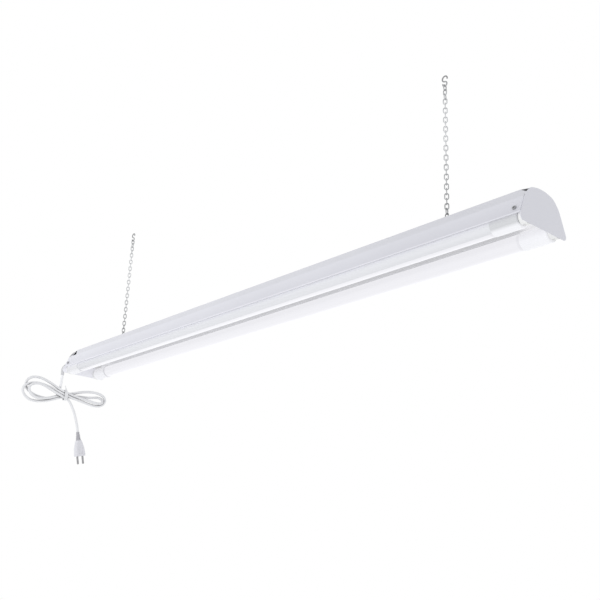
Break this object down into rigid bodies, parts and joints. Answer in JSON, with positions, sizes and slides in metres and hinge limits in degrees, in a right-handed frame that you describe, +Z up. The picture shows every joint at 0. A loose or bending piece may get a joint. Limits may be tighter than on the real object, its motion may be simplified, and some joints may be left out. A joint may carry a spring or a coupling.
{
  "type": "hanging shop light",
  "caption": "Slim white sheet-steel shop light with tube lamps side by side, hung on link chains, with a folded power cord and plug.",
  "frame": {"origin": "midway between the bearing points of the two top hooks, where the light hangs", "axes": "+X along the light, +Z up; the cord leaves the -X end and the -Y side is the front"},
  "size_m": [1.2437, 0.2086, 0.5034],
  "materials": {
    "painted_steel": "white baked enamel, semi-gloss",
    "reflector_white": "white reflector enamel, gloss",
    "galvanised_steel": "galvanised",
    "screw_steel": "zinc plated",
    "holder_plastic": "moulded urea plastic",
    "contact_brass": "spring bronze",
    "rotor_plastic": "moulded plastic",
    "lamp_aluminium": "white coated aluminium",
    "lamp_lens": "frosted polycarbonate",
    "circuit_board": "white solder mask",
    "lamp_cap_plastic": "moulded plastic",
    "pin_nickel": "nickel plated brass",
    "driver_steel": "white sheet steel",
    "component_plastic": "assorted component bodies",
    "wire_insulation": "PVC insulation",
    "splice_nylon": "nylon sleeve",
    "cord_pvc": "white PVC jacket, satin",
    "bushing_plastic": "moulded PVC",
    "tie_plastic": "white plastic covered wire tie",
    "relief_plastic": "grey moulded PVC",
    "plug_plastic": "moulded PVC",
    "blade_nickel": "nickel plated brass",
    "zinc_steel": "zinc plated steel wire"
  },
  "bodies": {
    "hangers": {"top_hook_left": "zinc_steel", "top_hook_right": "zinc_steel"},
    "top_link_right": {"top_link_right": "zinc_steel"},
    "top_link_left": {"top_link_left": "zinc_steel"},
    "chain_right": {"chain_right": "zinc_steel", "hanger_wire_right": "zinc_steel"},
    "chain_left": {"chain_left": "zinc_steel", "hanger_wire_left": "zinc_steel"},
    "lamp_front": {"lamp_front_back": "lamp_aluminium", "lamp_front_board": "circuit_board", "lamp_front_cap_left": "lamp_cap_plastic", "lamp_front_cap_right": "lamp_cap_plastic", "lamp_front_lens": "lamp_lens", "lamp_front_pins": "pin_nickel", "lamp_front_rotors": "rotor_plastic"},
    "lamp_rear": {"lamp_rear_back": "lamp_aluminium", "lamp_rear_board": "circuit_board", "lamp_rear_cap_left": "lamp_cap_plastic", "lamp_rear_cap_right": "lamp_cap_plastic", "lamp_rear_lens": "lamp_lens", "lamp_rear_pins": "pin_nickel", "lamp_rear_rotors": "rotor_plastic"},
    "fixture": {"brace_left": "galvanised_steel", "brace_right": "galvanised_steel", "contacts_left": "contact_brass", "contacts_right": "contact_brass", "cord_bushing": "bushing_plastic", "cord_drop": "cord_pvc", "cord_hank": "cord_pvc", "cord_leads": "wire_insulation", "cord_tail": "cord_pvc", "cord_tie": "tie_plastic", "driver_base": "driver_steel", "driver_board": "circuit_board", "driver_case": "driver_steel", "driver_components": "component_plastic", "driver_leads": "wire_insulation", "driver_screws": "screw_steel", "end_cap_left": "painted_steel", "end_cap_right": "painted_steel", "end_cap_screws_left": "screw_steel", "end_cap_screws_right": "screw_steel", "hood": "painted_steel", "lampholder_front_left": "holder_plastic", "lampholder_front_right": "holder_plastic", "lampholder_rear_left": "holder_plastic", "lampholder_rear_right": "holder_plastic", "plug_blades": "blade_nickel", "plug_body": "plug_plastic", "plug_relief": "relief_plastic", "reflector_pan": "reflector_white", "reflector_screws": "screw_steel", "wire_splices": "splice_nylon", "wires_left": "wire_insulation", "wires_right": "wire_insulation"}
  },
  "joints": [
    {"name": "sway_cross", "type": "hinge", "parent": "hangers", "child": "top_link_right", "pos_m": [0.45, 0, -0.0166], "axis": [1, 0, 0], "range_deg": [-25, 25]},
    {"name": "sway_cross_left", "type": "hinge", "parent": "hangers", "child": "top_link_left", "pos_m": [-0.45, 0, -0.0166], "axis": [1, 0, 0], "range_deg": [-25, 25]},
    {"name": "sway_along", "type": "hinge", "parent": "top_link_right", "child": "chain_right", "pos_m": [0.45, 0, -0.02435], "axis": [0, 1, 0], "range_deg": [-25, 25]},
    {"name": "sway_along_left", "type": "hinge", "parent": "top_link_left", "child": "chain_left", "pos_m": [-0.45, 0, -0.02435], "axis": [0, 1, 0], "range_deg": [-25, 25]},
    {"name": "hanger_swivel", "type": "hinge", "parent": "chain_right", "child": "fixture", "pos_m": [0.45, 0, -0.25105], "axis": [0, 1, 0], "range_deg": [-25, 25]},
    {"name": "lamp_front_twist", "type": "hinge", "parent": "fixture", "child": "lamp_front", "pos_m": [0, -0.033, -0.2953], "axis": [1, 0, 0], "range_deg": [0, 90]},
    {"name": "lamp_rear_twist", "type": "hinge", "parent": "fixture", "child": "lamp_rear", "pos_m": [0, 0.033, -0.2953], "axis": [1, 0, 0], "range_deg": [0, 90]}
  ],
  "couplings": [
    {"joint": "sway_cross_left", "follows": "sway_cross", "ratio": 1},
    {"joint": "sway_along_left", "follows": "sway_along", "ratio": 1},
    {"joint": "hanger_swivel", "follows": "sway_along", "ratio": -1}
  ]
}
